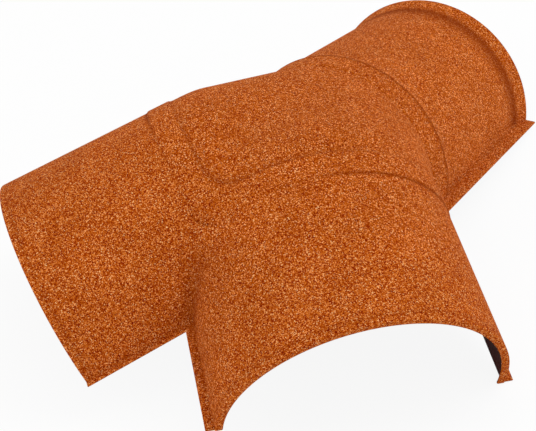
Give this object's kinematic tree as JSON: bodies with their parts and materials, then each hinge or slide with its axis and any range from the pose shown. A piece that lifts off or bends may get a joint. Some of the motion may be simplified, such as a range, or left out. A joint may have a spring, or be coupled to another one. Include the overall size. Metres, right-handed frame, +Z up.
{
  "type": "three-way ridge tile",
  "caption": "Y-shaped half-round ridge piece of grain-coated sheet that joins a level ridge to two falling hips.",
  "frame": {"origin": "centre of the footprint's box on the floor that the piece stands on", "axes": "+Z up; +Y along the ridge arm as seen from above, away from the two hip arms; X across, the piece is mirrored left to right"},
  "size_m": [0.4378, 0.504, 0.1659],
  "materials": {
    "grain_coat": "terracotta-coloured stone grains bonded over the outer face, bare dark primer underneath"
  },
  "bodies": {
    "root": {"three_way_ridge_tile": "grain_coat"}
  },
  "joints": []
}
